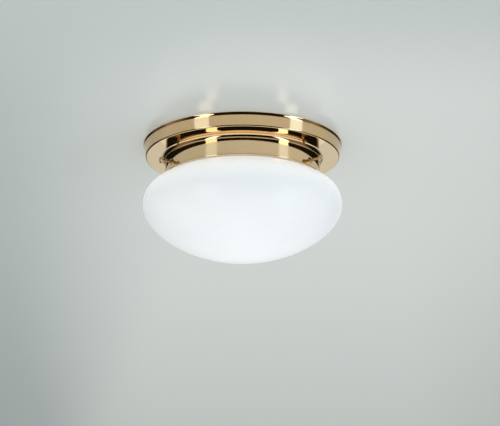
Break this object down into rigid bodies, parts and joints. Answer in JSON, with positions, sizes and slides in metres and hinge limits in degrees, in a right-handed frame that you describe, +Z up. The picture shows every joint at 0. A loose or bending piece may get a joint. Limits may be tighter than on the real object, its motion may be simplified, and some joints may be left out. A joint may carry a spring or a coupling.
{
  "type": "ceiling lamp",
  "caption": "Flush ceiling lamp: stepped polished brass canopy, opal glass bowl held by knurled thumb screws, screw-base bulb lying on its side inside",
  "frame": {"origin": "centre of the mounting plate's top face, on the ceiling plane", "axes": "+Z up into the ceiling, along the lamp's axis; +X along the bulb, from its cap to its tip; -Y towards the side shown nearest in the picture"},
  "size_m": [0.25, 0.25, 0.1468],
  "materials": {
    "polished_brass": "polished",
    "turned_brass": "satin",
    "contact_brass": "satin",
    "white_enamel": "satin",
    "zinc_plated_steel": "satin",
    "black_rubber": "matte",
    "porcelain": "gloss",
    "cream_plastic": "matte",
    "brown_insulation": "satin",
    "blue_insulation": "satin",
    "green_yellow_insulation": "satin",
    "tinned_copper": "satin",
    "opal_glass": "satin",
    "cap_aluminium": "satin",
    "black_glass": "gloss",
    "solder": "satin",
    "frosted_glass": "frosted",
    "clear_glass": "clear",
    "filament_metal": "satin"
  },
  "bodies": {
    "fixture": {"canopy": "polished_brass", "screw_bushes": "turned_brass", "plate_studs": "turned_brass", "base_plate": "white_enamel", "plate_washers": "zinc_plated_steel", "plate_nuts": "zinc_plated_steel", "cable_grommet": "black_rubber", "holder_bracket": "zinc_plated_steel", "bracket_screws": "zinc_plated_steel", "holder_body": "porcelain", "holder_shell": "contact_brass", "holder_contact": "contact_brass", "holder_terminals": "contact_brass", "holder_terminal_screws": "zinc_plated_steel", "holder_screws": "zinc_plated_steel", "terminal_block": "cream_plastic", "terminal_sleeves": "contact_brass", "terminal_screws": "zinc_plated_steel", "terminal_block_screw": "zinc_plated_steel", "earth_screw": "zinc_plated_steel", "earth_washer": "zinc_plated_steel", "earth_lug": "tinned_copper", "live_wire": "brown_insulation", "neutral_wire": "blue_insulation", "earth_wire": "green_yellow_insulation"},
    "shade": {"shade": "opal_glass"},
    "screw_stud_1": {"screw_stud_1": "polished_brass"},
    "screw_knob_1": {"screw_knob_1": "polished_brass"},
    "screw_stud_2": {"screw_stud_2": "polished_brass"},
    "screw_knob_2": {"screw_knob_2": "polished_brass"},
    "screw_stud_3": {"screw_stud_3": "polished_brass"},
    "screw_knob_3": {"screw_knob_3": "polished_brass"},
    "bulb_tip": {"bulb_contact": "solder"},
    "bulb": {"bulb_cap": "cap_aluminium", "bulb_insulator": "black_glass", "bulb_envelope": "frosted_glass", "bulb_stem": "clear_glass", "bulb_leads": "filament_metal", "bulb_filament": "filament_metal"}
  },
  "joints": [
    {"name": "shade_drop", "type": "slide", "parent": "fixture", "child": "shade", "axis": [0, 0, -1], "range_m": [0, 0.024]},
    {"name": "screw_slide_1", "type": "slide", "parent": "fixture", "child": "screw_stud_1", "axis": [-0.866, -0.5, 0], "range_m": [0, 0.0105]},
    {"name": "screw_turn_1", "type": "hinge", "parent": "screw_stud_1", "child": "screw_knob_1", "pos_m": [0, 0, -0.034], "axis": [-0.866, -0.5, 0], "range_deg": [0, 5401]},
    {"name": "screw_slide_2", "type": "slide", "parent": "fixture", "child": "screw_stud_2", "axis": [0.866, -0.5, 0], "range_m": [0, 0.0105]},
    {"name": "screw_turn_2", "type": "hinge", "parent": "screw_stud_2", "child": "screw_knob_2", "pos_m": [0, 0, -0.034], "axis": [0.866, -0.5, 0], "range_deg": [0, 5401]},
    {"name": "screw_slide_3", "type": "slide", "parent": "fixture", "child": "screw_stud_3", "axis": [0, 1, 0], "range_m": [0, 0.0105]},
    {"name": "screw_turn_3", "type": "hinge", "parent": "screw_stud_3", "child": "screw_knob_3", "pos_m": [0, 0, -0.034], "axis": [0, 1, 0], "range_deg": [0, 5401]},
    {"name": "bulb_travel", "type": "slide", "parent": "fixture", "child": "bulb_tip", "axis": [1, 0, 0], "range_m": [0, 0.0181]},
    {"name": "bulb_turn", "type": "hinge", "parent": "bulb_tip", "child": "bulb", "pos_m": [-0.04, 0, -0.062], "axis": [1, 0, 0], "range_deg": [0, 1800]}
  ],
  "couplings": [
    {"joint": "screw_slide_1", "follows": "shade_drop", "ratio": 0.4375},
    {"joint": "screw_turn_1", "follows": "shade_drop", "rad_per_m": 3927},
    {"joint": "screw_slide_2", "follows": "shade_drop", "ratio": 0.4375},
    {"joint": "screw_turn_2", "follows": "shade_drop", "rad_per_m": 3927},
    {"joint": "screw_slide_3", "follows": "shade_drop", "ratio": 0.4375},
    {"joint": "screw_turn_3", "follows": "shade_drop", "rad_per_m": 3927},
    {"joint": "bulb_travel", "follows": "bulb_turn", "m_per_rad": 0.00057296}
  ]
}
